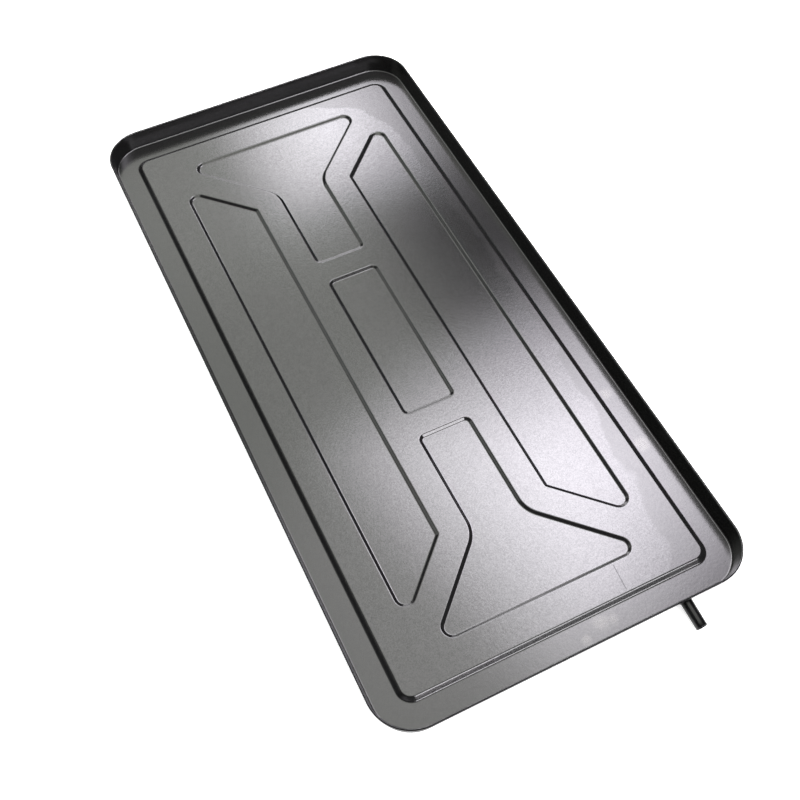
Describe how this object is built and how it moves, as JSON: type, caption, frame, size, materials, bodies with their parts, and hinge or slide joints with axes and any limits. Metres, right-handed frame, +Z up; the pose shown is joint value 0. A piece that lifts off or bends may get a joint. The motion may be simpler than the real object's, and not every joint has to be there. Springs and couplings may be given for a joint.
{
  "type": "oil drain pan",
  "caption": "Shallow rectangular drip and drain pan of pressed sheet with a folded rim, a raised panelled floor inside a gutter, and a short drain tube.",
  "frame": {"origin": "on the ground, under the middle of the whole object with the drain tube included; the pan's own centre is 14 mm towards +Y", "axes": "+Y along the pan, away from the end with the drain tube; +X across it, towards the side the tube is on; +Z up"},
  "size_m": [0.432, 0.917, 0.025],
  "materials": {
    "gunmetal_enamel": "semi-gloss dark grey enamel, metallic in the highlights",
    "black_enamel": "gloss black",
    "painted_weld": "satin black over a rippled weld"
  },
  "bodies": {
    "root": {"pan_shell": "gunmetal_enamel", "drain_tube": "black_enamel", "weld_bead": "painted_weld"}
  },
  "joints": []
}
